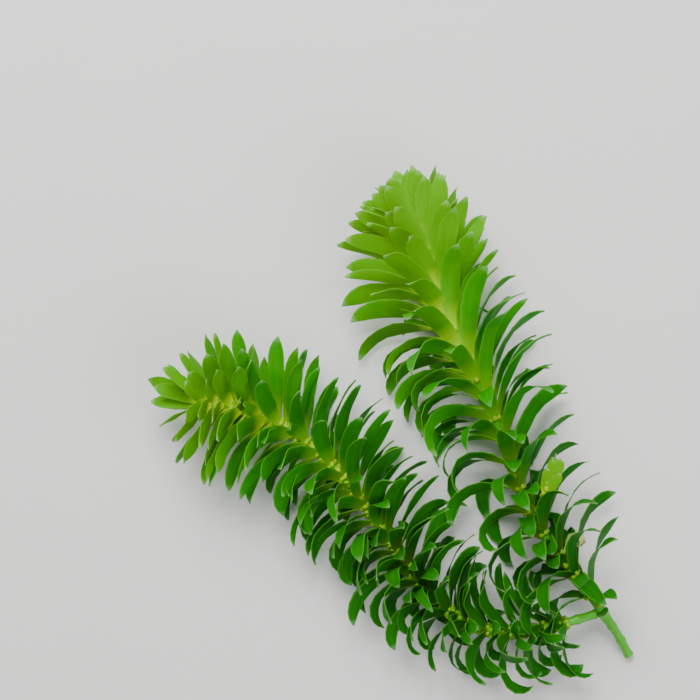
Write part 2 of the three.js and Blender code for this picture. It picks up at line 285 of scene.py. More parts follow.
class Route:
    """The curve through a route's points, measured from its growing point."""

    FINENESS = 80  # steps between two points of the route

    def __init__(self, points):
        points = [np.array(point, float) for point in points]
        points = [2 * points[0] - points[1]] + points + [2 * points[-1] - points[-2]]
        places = []
        for before, start, end, after in zip(points, points[1:], points[2:], points[3:]):
            for step in range(self.FINENESS):
                t = step / self.FINENESS
                slope = (end - before) * t
                curve = (2 * before - 5 * start + 4 * end - after) * t**2
                flex = (-before + 3 * start - 3 * end + after) * t**3
                places.append(start + 0.5 * (slope + curve + flex))
        places.append(points[-2])
        self.places = np.array(places)
        steps = np.linalg.norm(np.diff(self.places, axis=0), axis=1)
        self.along = np.concatenate([[0], np.cumsum(steps)])
        self.length = self.along[-1]

    def place(self, distance):
        """The point at a distance from the growing point."""
        at = self.length - distance
        return np.array([np.interp(at, self.along, self.places[:, axis]) for axis in range(3)])

    def frame(self, distance):
        """Place, direction to the tip, front (upwards, square to it) and right."""
        reach = 0.25
        nearer = self.place(max(distance - reach, 0))
        farther = self.place(min(distance + reach, self.length))
        ahead = unit(nearer - farther)
        front = unit(np.array([0, 0, 1.0]) - ahead * ahead[2])
        return self.place(distance), ahead, front, np.cross(ahead, front)


def stem_radius(distance):
    """A shoot's radius at a distance from its growing point."""
    share = min(1, distance / TAPER_LENGTH)
    return TIP_RADIUS + (STEM_RADIUS - TIP_RADIUS) * share


def width_share(share):
    """A leaf's width at a share of its length: narrower at the base, a strap, then a blunt point."""
    base = BASE_WIDTH + (1 - BASE_WIDTH) * min(1, share / STRAP_FROM)
    to_tip = max(0, share - POINT_FROM) / (1 - POINT_FROM)
    return base * (1 - to_tip**POINT_CURVE) ** POINT_ROUND


def leaf_base(shoot, index, seed, distance, angle):
    """What every leaf has: its turn round the stem, its age, its tint, and the painted shade it gets at
    the back of the stem.
    """
    return {
        "age": min(1, shoot["older"] + distance / OLD_DISTANCE),
        "angle": angle,
        "tint": scatter(index, seed + 6),
        # painted shade: 1 for a leaf turned to the back of the stem, towards the floor, 0 at the front
        "shade": 0.5 - 0.5 * math.cos(angle),
    }


def whorl_leaf(shoot, grown, distance, loose, whorl, order, count):
    """One leaf of a whorl. The crowded whorls of the tip are less loose, and more alike."""
    index = whorl * MOST_PER_WHORL + order
    seed = shoot["seed"]
    degrees = shoot["phase"] + (whorl % 2) * shoot["turn"] + order * 360 / count
    angle = math.radians(degrees + spread(index, seed, ANGLE_SCATTER * loose))
    to_right = math.sin(angle)
    bend = grown["bend"] * (1 + shoot["skew_bend"] * to_right)
    lean = grown["lean"] + shoot["skew_lean"] * to_right
    lean += shoot["skew_front"] * max(0, math.cos(angle)) * min(1, distance / TAPER_LENGTH)
    turned_up = shoot["face_right"] if to_right > 0 else shoot["face_left"]
    turned_up *= 1 - (1 - shoot["old_face"]) * min(1, distance / OLD_FACE_FROM)
    return leaf_base(shoot, index, seed, distance, angle) | {
        "from": distance,
        "length": grown["length"] * (1 + spread(index, seed + 1, LENGTH_SCATTER)),
        "width": grown["width"],
        "lean": lean + spread(index, seed + 2, LEAN_SCATTER * loose),
        "bend": bend * (1 + spread(index, seed + 3, BEND_SCATTER * loose)),
        "sway": spread(index, seed + 4, SWAY_SCATTER * loose),
        "roll": spread(index, seed + 5, ROLL_SCATTER * loose) - turned_up * to_right,
        "twist": spread(index, seed + 7, TWIST * (LEAST_TWIST + (1 - LEAST_TWIST) * loose)),
        "stray": spread(index, seed + 8, STRAY * (LEAST_STRAY + (1 - LEAST_STRAY) * loose)),
        "shingle": SHINGLE_SLOPE * (1 - loose),
    }


def between_leaf(shoot, grown, distance, loose, whorl, order):
    """A smaller leaf half way to the next whorl."""
    index = whorl * MOST_PER_WHORL + order
    seed = BETWEEN_SEED
    degrees = shoot["phase"] + BETWEEN_TURN + order * 360 / shoot["between"]
    angle = math.radians(degrees + spread(index, seed, BETWEEN_SCATTER))
    to_right = math.sin(angle)
    bend = grown["bend"] * (1 + shoot["skew_bend"] * to_right)
    lean = grown["lean"] + shoot["skew_lean"] * to_right
    turned_up = shoot["face_right"] * BETWEEN_FACE
    return leaf_base(shoot, index, seed, distance, angle) | {
        "from": distance + grown["gap"] / 2,
        "length": grown["length"] * BETWEEN_LENGTH * (1 + spread(index, seed + 1, LENGTH_SCATTER)),
        "width": grown["width"] * BETWEEN_WIDTH,
        "lean": lean + spread(index, seed + 2, LEAN_SCATTER),
        "bend": bend * (1 + spread(index, seed + 3, BEND_SCATTER)),
        "sway": spread(index, seed + 4, SWAY_SCATTER),
        "roll": spread(index, seed + 5, ROLL_SCATTER) - turned_up * to_right,
        "twist": spread(index, seed + 7, TWIST),
        "stray": spread(index, seed + 8, STRAY),
        "shingle": SHINGLE_SLOPE * (1 - loose),
    }


def front_leaf(shoot, grown, distance, whorl):
    """The short leaf over the front of the stem, curled back and scattered twice as much."""
    index = whorl * MOST_PER_WHORL + MOST_PER_WHORL - 1
    seed = shoot["seed"]
    angle = math.radians(spread(index, seed, FRONT_ANGLE))
    return leaf_base(shoot, index, seed, distance, angle) | {
        "from": distance + grown["gap"] / 2,
        "length": grown["length"] * FRONT_LENGTH * (1 + spread(index, seed + 1, BEND_SCATTER)),
        "width": grown["width"],
        "lean": FRONT_LEAN + spread(index, seed + 2, ROLL_SCATTER),
        "bend": FRONT_BEND * (1 + spread(index, seed + 3, BEND_SCATTER)),
        "sway": spread(index, seed + 4, 2 * SWAY_SCATTER),
        "roll": spread(index, seed + 5, 2 * ROLL_SCATTER),
        "twist": 0,
        "stray": 0,
        "shingle": 0,
        # a front leaf gets no painted shade
        "shade": 0,
    }


def leaves_of(shoot, route):
    """The places of a shoot's whorls, and all its leaves, from its growing point down."""
    leaves = []
    whorls = []
    distance = FIRST_WHORL
    while distance < route.length - shoot["bare"]:
        whorl = len(whorls)
        grown = row_at(shoot["growth"], distance)
        count = shoot["per_whorl"] if distance < shoot["old_from"] else shoot["per_old_whorl"]
        loose = min(1, grown["gap"] / LOOSE_GAP) ** 2
        for order in range(count):
            if (whorl, order) not in shoot["gone"]:
                leaves.append(whorl_leaf(shoot, grown, distance, loose, whorl, order, count))
        if whorl in shoot["between_whorls"]:
            for order in range(shoot["between"]):
                leaf = between_leaf(shoot, grown, distance, loose, whorl, order)
                if math.cos(leaf["angle"]) <= shoot["between_front"]:
                    leaves.append(leaf)
        if distance > shoot["front_from"]:
            leaves.append(front_leaf(shoot, grown, distance, whorl))
        whorls.append(distance)
        distance += grown["gap"]
    return whorls, leaves


def leaf_line(route, leaf, start):
    """A leaf's centre line: points, directions across it and directions out of its flat face.

    It leans away from the stem, bends back towards the shoot's base, and lies along the surface where
    it would pass through it: on its flat face if it has bent over, or else on its keel.
    """
    place, ahead, front, right = route.frame(leaf["from"])
    radial = front * math.cos(leaf["angle"]) + right * math.sin(leaf["angle"])
    sideways = np.cross(radial, ahead)
    point = place + radial * start
    points, acrosses, outs = [], [], []
    for step in range(LEAF_STEPS + 1):
        share = step / LEAF_STEPS
        lean = math.radians(leaf["lean"] + leaf["bend"] * share**BEND_CURVE)
        along = ahead * math.cos(lean) + radial * math.sin(lean)
        along = unit(along + sideways * math.tan(math.radians(leaf["sway"])) * share)
        flat = unit(np.cross(sideways, along))
        level = np.cross(flat, along)
        roll = math.radians(leaf["roll"]) * min(1, share / ROLLED_BY)
        across = level * math.cos(roll) + flat * math.sin(roll)
        out = np.cross(along, across)
        if step:
            point = point + along * (leaf["length"] / LEAF_STEPS)
        lowest = 0 if out[2] < 0 else FLOOR_LIFT
        lowest += leaf["shingle"] * leaf["length"] * (1 - share)
        if point[2] < lowest:
            point = np.array([point[0], point[1], lowest])
            along = unit(np.array([along[0], along[1], 0.0]))
            across = np.array([-along[1], along[0], 0.0]) * (-1 if out[2] < 0 else 1)
            out = np.cross(along, across)
        points.append(point)
        acrosses.append(across)
        outs.append(out)
    return np.array(points), np.array(acrosses), np.array(outs)


# Meshes

def nothing_selected():
    """Object mode with nothing selected, so that an operator acts on one new thing."""
    if bpy.context.mode != "OBJECT":
        bpy.ops.object.mode_set(mode="OBJECT")
    bpy.ops.object.select_all(action="DESELECT")


def select_vertices(mesh_object, chosen):
    """In edit mode, selects the vertices whose place the test accepts."""
    bpy.ops.mesh.select_all(action="DESELECT")
    bpy.ops.object.mode_set(mode="OBJECT")
    for vertex in mesh_object.data.vertices:
        vertex.select = chosen(vertex.co)
    bpy.ops.object.mode_set(mode="EDIT")


class Part:
    """A modelled part, taken as arrays so that copies of it can be bent into place."""

    def __init__(self, modelled):
        mesh = modelled.data
        self.points = np.array([vertex.co for vertex in mesh.vertices]) / MM
        self.faces = [list(polygon.vertices) for polygon in mesh.polygons]
        bpy.data.objects.remove(modelled)
        bpy.data.meshes.remove(mesh)

    def turned(self):
        """The same part with its faces looking the other way."""
        other = object.__new__(Part)
        other.points = self.points
        other.faces = [face[::-1] for face in self.faces]
        return other


class Copies:
    """Copies of parts, gathered for one mesh."""

    def __init__(self):
        self.points, self.faces, self.uvs = [], [], []
        self.ages, self.tints, self.shades, self.slots = [], [], [], []
        self.count = 0

    def add(self, part, points, uvs, slot, age=1, tint=0.5, shade=0.5):
        """One copy: its bent points, a UV pair per point, its material's place, and its look."""
        self.points.append(points)
        self.uvs.append(uvs)
        self.faces.extend([self.count + corner for corner in face] for face in part.faces)
        self.ages.append(np.broadcast_to(age, len(points)))
        self.tints.append(np.full(len(points), tint))
        self.shades.append(np.full(len(points), shade))
        self.slots.extend([slot] * len(part.faces))
        self.count += len(points)

    def piece(self, name, materials):
        """The gathered copies as one object, in metres about the plant's middle."""
        points = (np.concatenate(self.points) - MIDDLE) * MM
        points[:, 2] = np.maximum(points[:, 2], 0)
        mesh = bpy.data.meshes.new(name)
        mesh.from_pydata(points.tolist(), [], self.faces)
        for label, values in ((AGE, self.ages), (TINT, self.tints), (PAINTED_SHADE, self.shades)):
            attribute = mesh.attributes.new(label, "FLOAT", "POINT")
            attribute.data.foreach_set("value", np.concatenate(values).astype(np.float32))
        corners = np.empty(len(mesh.loops), np.int64)
        mesh.loops.foreach_get("vertex_index", corners)
        layer = mesh.uv_layers.new(name=UV_NAME)
        layer.data.foreach_set("uv", np.concatenate(self.uvs)[corners].astype(np.float32).ravel())
        for material in materials:
            mesh.materials.append(material)
        mesh.polygons.foreach_set("material_index", np.array(self.slots, np.int32))
        mesh.polygons.foreach_set("use_smooth", np.ones(len(self.faces), bool))
        mesh.update()
        made = bpy.data.objects.new(name, mesh)
        bpy.context.scene.collection.objects.link(made)
        return made


def model_blade(thickness, fold):
    """The blade that every leaf is copied from: a strap along +Y, folded along its midrib."""
    nothing_selected()
    bpy.ops.mesh.primitive_plane_add(size=1, location=(0, 0, 0))
    blade = bpy.context.active_object
    first = MASTER_ROWS[1] * MASTER_LENGTH * MM
    blade.dimensions = (MASTER_WIDTH * MM * width_share(0), first, 0)
    blade.location = (0, first / 2, 0)
    bpy.ops.object.transform_apply(location=True, rotation=False, scale=True)
    bpy.ops.object.mode_set(mode="EDIT")
    bpy.ops.mesh.select_mode(type="VERT")
    select_vertices(blade, lambda place: place.y > first / 2)
    widen = width_share(MASTER_ROWS[1]) / width_share(0)
    bpy.ops.transform.resize(value=(widen, 1, 1))
    for before, share in zip(MASTER_ROWS[1:], MASTER_ROWS[2:] + [1]):
        forward = (share - before) * MASTER_LENGTH * MM
        bpy.ops.mesh.extrude_region_move(TRANSFORM_OT_translate={"value": (0, forward, 0)})
        narrow = max(width_share(share), POINT_WIDTH) / width_share(before)
        bpy.ops.transform.resize(value=(narrow, 1, 1))
    # each cross row is halved, and its middle is pushed down to the midrib
    bpy.ops.mesh.select_all(action="DESELECT")
    bpy.ops.mesh.select_mode(type="EDGE")
    bpy.ops.object.mode_set(mode="OBJECT")
    for edge in blade.data.edges:
        start, end = [blade.data.vertices[index].co for index in edge.vertices]
        edge.select = abs(start.y - end.y) < SAME_PLACE
    bpy.ops.object.mode_set(mode="EDIT")
    bpy.ops.mesh.subdivide(number_cuts=1)
    bpy.ops.mesh.select_mode(type="VERT")
    select_vertices(blade, lambda place: abs(place.x) < SAME_PLACE)
    bpy.ops.transform.translate(value=(0, 0, -fold))
    bpy.ops.mesh.select_all(action="SELECT")
    bpy.ops.mesh.normals_make_consistent(inside=False)
    bpy.ops.object.mode_set(mode="OBJECT")
    bpy.ops.object.modifier_add(type="SOLIDIFY")
    blade.modifiers["Solidify"].thickness = thickness
    blade.modifiers["Solidify"].offset = 0
    bpy.ops.object.modifier_apply(modifier="Solidify")
    return Part(blade)


def model_internode():
    """A length of stem between two whorls, one unit long up +Z, swollen where the leaves join it."""
    bulge = [(0.08, 1.09), (0.22, 0.99), (0.5, 0.96), (0.8, 0.99), (0.93, 1.08)]
    rows = [(0, JOINT_WIDTH), *bulge, (1, JOINT_WIDTH)]
    nothing_selected()
    radius = STEM_RADIUS * MM * rows[0][1]
    bpy.ops.mesh.primitive_circle_add(vertices=STEM_SIDES, radius=radius, fill_type="NOTHING")
    tube = bpy.context.active_object
    bpy.ops.object.mode_set(mode="EDIT")
    bpy.ops.mesh.select_all(action="SELECT")
    for (low, wide), (high, next_wide) in zip(rows, rows[1:]):
        forward = {"value": (0, 0, (high - low) * MM)}
        bpy.ops.mesh.extrude_region_move(TRANSFORM_OT_translate=forward)
        scale = next_wide / wide
        bpy.ops.transform.resize(value=(scale, scale, 1))
    bpy.ops.mesh.select_all(action="SELECT")
    bpy.ops.mesh.normals_make_consistent(inside=False)
    bpy.ops.object.mode_set(mode="OBJECT")
    return Part(tube)


def model_cut_end():
    """The cut face that closes a stem: a rim and a sunken pith, looking down -Z."""
    nothing_selected()
    radius = STEM_RADIUS * MM * JOINT_WIDTH
    rim = radius * 0.22
    slope = radius * 0.16
    depth = radius * 0.12
    pith_ring = radius * 0.3
    bpy.ops.mesh.primitive_circle_add(vertices=STEM_SIDES, radius=radius, fill_type="NGON")
    disc = bpy.context.active_object
    bpy.ops.object.mode_set(mode="EDIT")
    bpy.ops.mesh.select_all(action="SELECT")
    bpy.ops.mesh.inset(thickness=rim, depth=0)
    bpy.ops.mesh.inset(thickness=slope, depth=0)
    bpy.ops.transform.translate(value=(0, 0, depth))
    bpy.ops.mesh.inset(thickness=pith_ring, depth=0)
    bpy.ops.mesh.select_all(action="SELECT")
    bpy.ops.mesh.flip_normals()
    bpy.ops.object.mode_set(mode="OBJECT")
    if disc.data.polygons[0].normal.z > 0:
        disc.data.flip_normals()
    return Part(disc)


def model_nodule(size):
    """The swelling in a leaf's axil: a small egg, drawn out along +Y and flattened below."""
    nothing_selected()
    bpy.ops.mesh.primitive_uv_sphere_add(segments=8, ring_count=5, radius=size / 2)
    egg = bpy.context.active_object
    outer_part = size * 0.2
    drawn_out = size * 0.3
    bpy.ops.object.mode_set(mode="EDIT")
    select_vertices(egg, lambda place: place.y > outer_part)
    bpy.ops.transform.translate(value=(0, drawn_out, 0))
    bpy.ops.transform.resize(value=(0.6, 1, 0.6))
    select_vertices(egg, lambda place: place.z < -outer_part)
    bpy.ops.transform.resize(value=(1, 1, 0.5))
    bpy.ops.mesh.select_all(action="SELECT")
    bpy.ops.mesh.normals_make_consistent(inside=False)
    bpy.ops.object.mode_set(mode="OBJECT")
    return Part(egg)


def add_leaf(copies, blade, route, leaf, start):
    """One copy of the blade, laid along a leaf's centre line, with its twist, stray and ripple."""
    points, acrosses, outs = leaf_line(route, leaf, start)
    steps = np.linspace(0, 1, LEAF_STEPS + 1)
    share = np.clip(blade.points[:, 1] / MASTER_LENGTH, 0, 1)

    def along_line(values):
        return np.stack([np.interp(share, steps, values[:, axis]) for axis in range(3)], axis=1)

    level = along_line(acrosses)
    upright = along_line(outs)
    twist = math.radians(leaf["twist"]) * share[:, None] ** TWIST_CURVE
    across = level * np.cos(twist) + upright * np.sin(twist)
    out = upright * np.cos(twist) - level * np.sin(twist)
    stray = level * leaf["stray"] * share[:, None] ** STRAY_CURVE
    widths = np.array([max(width_share(value), POINT_WIDTH) for value in share])
    side = blade.points[:, 0] / (widths * MASTER_WIDTH / 2)
    sidewise = blade.points[:, 0] * leaf["width"] / MASTER_WIDTH
    tint = leaf["tint"]
    wave = np.sin(2 * math.pi * (share * RIPPLES + tint)) * np.minimum(1, share / STRAP_FROM)
    depth = blade.points[:, 2] * (LEAST_FOLD + tint) + RIPPLE * wave * side
    placed = along_line(points) + stray + across * sidewise[:, None] + out * depth[:, None]
    uvs = np.stack([0.5 + 0.5 * side, share], axis=1)
    copies.add(blade, placed, uvs, LEAF_SLOT, leaf["age"], tint, leaf["shade"])


def add_nodule(copies, nodule, route, leaf, order):
    """A swelling in the axil of a leaf, on the stem's side towards the tip.

    The second of them, of order 1, is nearer the tip and a little to one side.
    """
    distance = max(leaf["from"] - order * BEAD_STEP, 0)
    angle = leaf["angle"] + order * BEAD_TURN
    place, ahead, front, right = route.frame(distance)
    radial = front * math.cos(angle) + right * math.sin(angle)
    sideways = np.cross(radial, ahead)
    at = place + radial * stem_radius(distance)
    x, y, z = nodule.points[:, 0:1], nodule.points[:, 1:2], nodule.points[:, 2:3]
    placed = at + sideways * x + ahead * y + radial * z
    uvs = np.zeros((len(placed), 2))
    copies.add(nodule, placed, uvs, NODULE_SLOT, leaf["age"], leaf["tint"])


def add_stem(copies, internode, cut_end, route, marks, radius_at, older):
    """A stem with both ends closed: one internode from each mark to the next, nearer the tip."""
    for far, near in zip(marks, marks[1:]):
        placed = []
        share = internode.points[:, 2]
        for value in np.unique(np.round(share, 6)):
            distance = far + (near - far) * value
            place, ahead, front, right = route.frame(distance)
            ring = np.abs(share - value) < SAME_SHARE
            wide = radius_at(distance) / STEM_RADIUS
            x = internode.points[ring, 0:1] * wide
            y = internode.points[ring, 1:2] * wide
            placed.append((np.flatnonzero(ring), place + right * x - front * y))
        points = np.empty_like(internode.points)
        for rows, values in placed:
            points[rows] = values
        distances = far + (near - far) * share
        ages = np.minimum(1, older + distances / OLD_DISTANCE)
        copies.add(internode, points, np.zeros((len(points), 2)), STEM_SLOT, ages)
    for distance, facing in ((marks[0], 1), (marks[-1], -1)):
        place, ahead, front, right = route.frame(distance)
        wide = radius_at(distance) / STEM_RADIUS
        x = cut_end.points[:, 0:1] * wide
        y = cut_end.points[:, 1:2] * wide
        z = cut_end.points[:, 2:3] * wide * facing
        part = cut_end if facing > 0 else cut_end.turned()
        uvs = np.zeros((len(x), 2))
        copies.add(part, place + right * x - front * y + ahead * z, uvs, STEM_SLOT)


# Materials

def add_node(tree, kind, sockets=None, **settings):
    """A node with its settings, and its sockets set to values or linked to other nodes' outputs."""
    made = tree.nodes.new(kind)
    for key, value in settings.items():
        setattr(made, key, value)
    for key, value in (sockets or {}).items():
        if isinstance(value, bpy.types.NodeSocket):
            tree.links.new(value, made.inputs[key])
        else:
            made.inputs[key].default_value = value
    return made


def blended(tree, factor, first, second, way="MIX"):
    """A colour between two others."""
    made = add_node(tree, "ShaderNodeMix", data_type="RGBA", blend_type=way)
    for index, value in ((0, factor), (6, first), (7, second)):
        if isinstance(value, bpy.types.NodeSocket):
            tree.links.new(value, made.inputs[index])
        elif index == 0:
            made.inputs[index].default_value = value
        else:
            made.inputs[index].default_value = (*value[:3], 1)
    return made.outputs[2]


def ranged(tree, value, low, high, start=0, end=1):
    """A value's place between two others, as a share."""
    sockets = {"Value": value, "From Min": low, "From Max": high, "To Min": start, "To Max": end}
    return add_node(tree, "ShaderNodeMapRange", sockets).outputs["Result"]


def worked(tree, operation, first, second=0.0):
    """A sum, product or other working of two values."""
    return add_node(tree, "ShaderNodeMath", {0: first, 1: second}, operation=operation).outputs[0]


def ramp(tree, factor, stops):
    """A colour ramp through the stops given as (place, colour)."""
    made = add_node(tree, "ShaderNodeValToRGB", {"Fac": factor})
    elements = made.color_ramp.elements
    while len(elements) < len(stops):
        elements.new(0.5)
    for element, (place, color) in zip(elements, stops):
        element.position = place
        element.color = (*color[:3], 1)
    return made.outputs["Color"]


def new_material(name):
    """An empty material with its output node."""
    material = bpy.data.materials.new(name)
    material.use_nodes = True
    tree = material.node_tree
    tree.nodes.clear()
    output = add_node(tree, "ShaderNodeOutputMaterial")
    return material, tree, output


def noise(tree, vector, scale, detail=3.0, roughness=0.5):
    sockets = {"Vector": vector, "Scale": scale, "Detail": detail, "Roughness": roughness}
    return add_node(tree, "ShaderNodeTexNoise", sockets).outputs["Fac"]


def leaf_tissue(tree, colors, across, along, age, tint, shade, place, streaks):
    """The colour of a leaf, from its place across and along the leaf and from the leaf's age."""
    clouds = noise(tree, place, 160.0, 2.0)
    aged = worked(tree, "ADD", age, ranged(tree, tint, 0, 1, -0.07, 0.07))
    aged = worked(tree, "ADD", aged, ranged(tree, clouds, 0.3, 0.7, -0.04, 0.04))
    tissue = ramp(tree, aged, [
        (0.0, colors.crown),
        (0.2, colors.crown),
        (0.42, colors.grown),
        (0.8, colors.old),
        (1.0, colors.old),
    ])
    # painted shade: leaves at the back of the stem, on its floor side, are deeper green; the outer half
    # of every leaf is a little deeper green too
    painted_shade_behind = worked(tree, "MULTIPLY", shade, ranged(tree, age, 0.0, 0.4, 0.1, 0.5))
    outer = ranged(tree, along, 0.2, 0.8, 0.0, 0.12)
    tissue = blended(tree, worked(tree, "MAXIMUM", painted_shade_behind, outer), tissue, colors.deep)
    # the young tissue at the base of each leaf is paler, most of all in the crown
    at_base = ranged(tree, along, 0.08, 0.45, 1, 0)
    base_paler = worked(tree, "MULTIPLY", at_base, ranged(tree, age, 0.15, 0.5, 0.9, 0.04))
    tissue = blended(tree, base_paler, tissue, colors.core)
    # rusty specks about the crowded bases below the crown
    speckled = ranged(tree, noise(tree, place, 520.0, 1.0), 0.55, 0.63)
    speckled = worked(tree, "MULTIPLY", speckled, ranged(tree, along, 0.05, 0.16, 0.8, 0))
    speckled = worked(tree, "MULTIPLY", speckled, ranged(tree, age, 0.28, 0.34))
    tissue = blended(tree, speckled, tissue, colors.speck)
    tissue = blended(tree, ranged(tree, streaks, 0.35, 0.7, 0.0, 0.22), tissue, colors.deep)
    # the midrib is a little paler; the margins and the tip are paler too, partly from their own thin
    # tissue and partly from a painted highlight
    off_midrib = worked(tree, "MULTIPLY", worked(tree, "SUBTRACT", across, 0.5), 2.0)
    off_midrib = worked(tree, "ABSOLUTE", off_midrib)
    tissue = blended(tree, ranged(tree, off_midrib, 0.16, 0.02, 0.0, 0.06), tissue, colors.core)
    tissue = blended(tree, ranged(tree, off_midrib, 0.78, 1.0, 0.0, 0.4), tissue, colors.edge)
    at_tip = ranged(tree, along, 0.92, 1.0, 0, 1)
    pale_tip_and_highlight = worked(tree, "MULTIPLY", at_tip, ranged(tree, age, 0.05, 0.4, 0.5, 0.26))
    return blended(tree, pale_tip_and_highlight, tissue, colors.tip)


def leaf_material(colors):
    """Leaves: lime in the crown to deep green below, thin enough to let light through."""
    material, tree, output = new_material("leaf_tissue")
    uv = add_node(tree, "ShaderNodeUVMap", uv_map=UV_NAME).outputs["UV"]
    parts = add_node(tree, "ShaderNodeSeparateXYZ", {"Vector": uv})
    across, along = parts.outputs["X"], parts.outputs["Y"]
    age = add_node(tree, "ShaderNodeAttribute", attribute_name=AGE).outputs["Fac"]
    tint = add_node(tree, "ShaderNodeAttribute", attribute_name=TINT).outputs["Fac"]
    # each leaf's painted shade at the back of the stem
    shade = add_node(tree, "ShaderNodeAttribute", attribute_name=PAINTED_SHADE).outputs["Fac"]
    place = add_node(tree, "ShaderNodeTexCoord").outputs["Object"]

    # streaks run along the leaf, and each leaf has its own
    streak_place = add_node(tree, "ShaderNodeCombineXYZ", {
        "X": worked(tree, "MULTIPLY", across, 22.0),
        "Y": worked(tree, "MULTIPLY", along, 2.5),
        "Z": worked(tree, "MULTIPLY", tint, 37.0),
    }).outputs["Vector"]
    streaks = noise(tree, streak_place, 1.0, 4.0, 0.6)
    tissue = leaf_tissue(tree, colors, across, along, age, tint, shade, place, streaks)

    # painted glow: an emission standing in for light that thin young tissue carries down to its base,
    # and a little of it all over the youngest
    at_base = ranged(tree, along, 0.05, 0.32, 0.62, 0)
    painted_glow = worked(tree, "MULTIPLY", at_base, ranged(tree, age, 0.18, 0.85, 1, 0))
    painted_glow = worked(tree, "ADD", painted_glow, ranged(tree, age, 0.0, 0.3, 0.09, 0))
    painted_glow_color = blended(tree, ranged(tree, age, 0.2, 0.4), colors.painted_glow, colors.core)

    cells = add_node(tree, "ShaderNodeTexVoronoi", {"Vector": place, "Scale": 2600.0})
    cell_height = worked(tree, "MULTIPLY", cells.outputs["Distance"], 0.4)
    height = worked(tree, "ADD", streaks, cell_height)
    bump = add_node(tree, "ShaderNodeBump", {"Height": height, "Strength": 0.2, "Distance": 0.0002})
    normal = bump.outputs["Normal"]
    skin = add_node(tree, "ShaderNodeBsdfPrincipled", {
        "Base Color": tissue,
        "Roughness": 0.45,
        "Specular IOR Level": 0.1,
        "Emission Color": painted_glow_color,
        "Emission Strength": painted_glow,
        "Normal": normal,
    })
    lit = blended(tree, 0.25, tissue, colors.core)
    through = add_node(tree, "ShaderNodeBsdfTranslucent", {"Color": lit, "Normal": normal})
    mixed = add_node(tree, "ShaderNodeMixShader", {0: 0.3})
    tree.links.new(skin.outputs[0], mixed.inputs[1])
    tree.links.new(through.outputs[0], mixed.inputs[2])
    tree.links.new(mixed.outputs[0], output.inputs["Surface"])
    return material


def stem_material(colors):
    """Stem skin: yellow green with fine mottling and rusty specks."""
    material, tree, output = new_material("stem_skin")
    place = add_node(tree, "ShaderNodeTexCoord").outputs["Object"]
    age = add_node(tree, "ShaderNodeAttribute", attribute_name=AGE).outputs["Fac"]
    mottle = noise(tree, place, 700.0, 4.0, 0.6)
    skin_color = blended(tree, ranged(tree, age, 0.1, 0.5), colors.core, colors.stem)
    skin_color = blended(tree, ranged(tree, mottle, 0.35, 0.7, 0.0, 0.5), skin_color, colors.grown)
    specks = noise(tree, place, 420.0, 1.0)
    skin_color = blended(tree, ranged(tree, specks, 0.68, 0.74, 0.0, 0.8), skin_color, colors.speck)
    bump = add_node(tree, "ShaderNodeBump", {"Height": mottle, "Strength": 0.3, "Distance": 0.0002})
    skin = add_node(tree, "ShaderNodeBsdfPrincipled", {
        "Base Color": skin_color,
        "Roughness": 0.4,
        "Subsurface Weight": 0.15,
        "Subsurface Radius": (0.001, 0.0015, 0.0004),
        "Normal": bump.outputs["Normal"],
    })
    tree.links.new(skin.outputs[0], output.inputs["Surface"])
    return material


def nodule_material(colors):
    """The yellow swellings in the axils, greener on the old stem."""
    material, tree, output = new_material("nodule_skin")
    place = add_node(tree, "ShaderNodeTexCoord").outputs["Object"]
    age = add_node(tree, "ShaderNodeAttribute", attribute_name=AGE).outputs["Fac"]
    mottle = noise(tree, place, 900.0, 3.0)
    skin_color = blended(tree, ranged(tree, mottle, 0.35, 0.65), colors.nodule, colors.core)
    skin_color = blended(tree, ranged(tree, age, 0.55, 0.95, 0, 0.7), skin_color, colors.stem)
    skin = add_node(tree, "ShaderNodeBsdfPrincipled", {
        "Base Color": skin_color,
        "Roughness": 0.45,
        "Specular IOR Level": 0.25,
    })
    tree.links.new(skin.outputs[0], output.inputs["Surface"])
    return material


def withered_material(colors):
    """A leaf gone pale: cream green, blotched brown towards the tip."""
    material, tree, output = new_material("withered_tissue")
    uv = add_node(tree, "ShaderNodeUVMap", uv_map=UV_NAME).outputs["UV"]
    along = add_node(tree, "ShaderNodeSeparateXYZ", {"Vector": uv}).outputs["Y"]
    place = add_node(tree, "ShaderNodeTexCoord").outputs["Object"]
    blotches = noise(tree, place, 500.0, 4.0, 0.6)
    tissue = blended(tree, ranged(tree, blotches, 0.35, 0.65, 0, 0.6), colors.withered, colors.edge)
    browned = worked(tree, "MULTIPLY", ranged(tree, along, 0.5, 1.0), ranged(tree, blotches, 0.45, 0.6))
    tissue = blended(tree, browned, tissue, colors.speck)
    skin = add_node(tree, "ShaderNodeBsdfPrincipled", {"Base Color": tissue, "Roughness": 0.6})
    tree.links.new(skin.outputs[0], output.inputs["Surface"])
    return material


def floor_material(color):
    """The plain pale floor, with the least unevenness of matt paper."""
    material, tree, output = new_material("floor_paper")
    place = add_node(tree, "ShaderNodeTexCoord").outputs["Object"]
    grain = noise(tree, place, 30.0, 2.0)
    darker = tuple(channel * 0.97 for channel in color)
    paper = blended(tree, grain, color, darker)
    skin = add_node(tree, "ShaderNodeBsdfPrincipled", {"Base Color": paper, "Roughness": 0.8})
    tree.links.new(skin.outputs[0], output.inputs["Surface"])
    return material


# Settings

def color_setting(name, description, color):
    return bpy.props.FloatVectorProperty(
        name=name, description=description, subtype="COLOR", size=3, min=0, max=1, default=color
    )


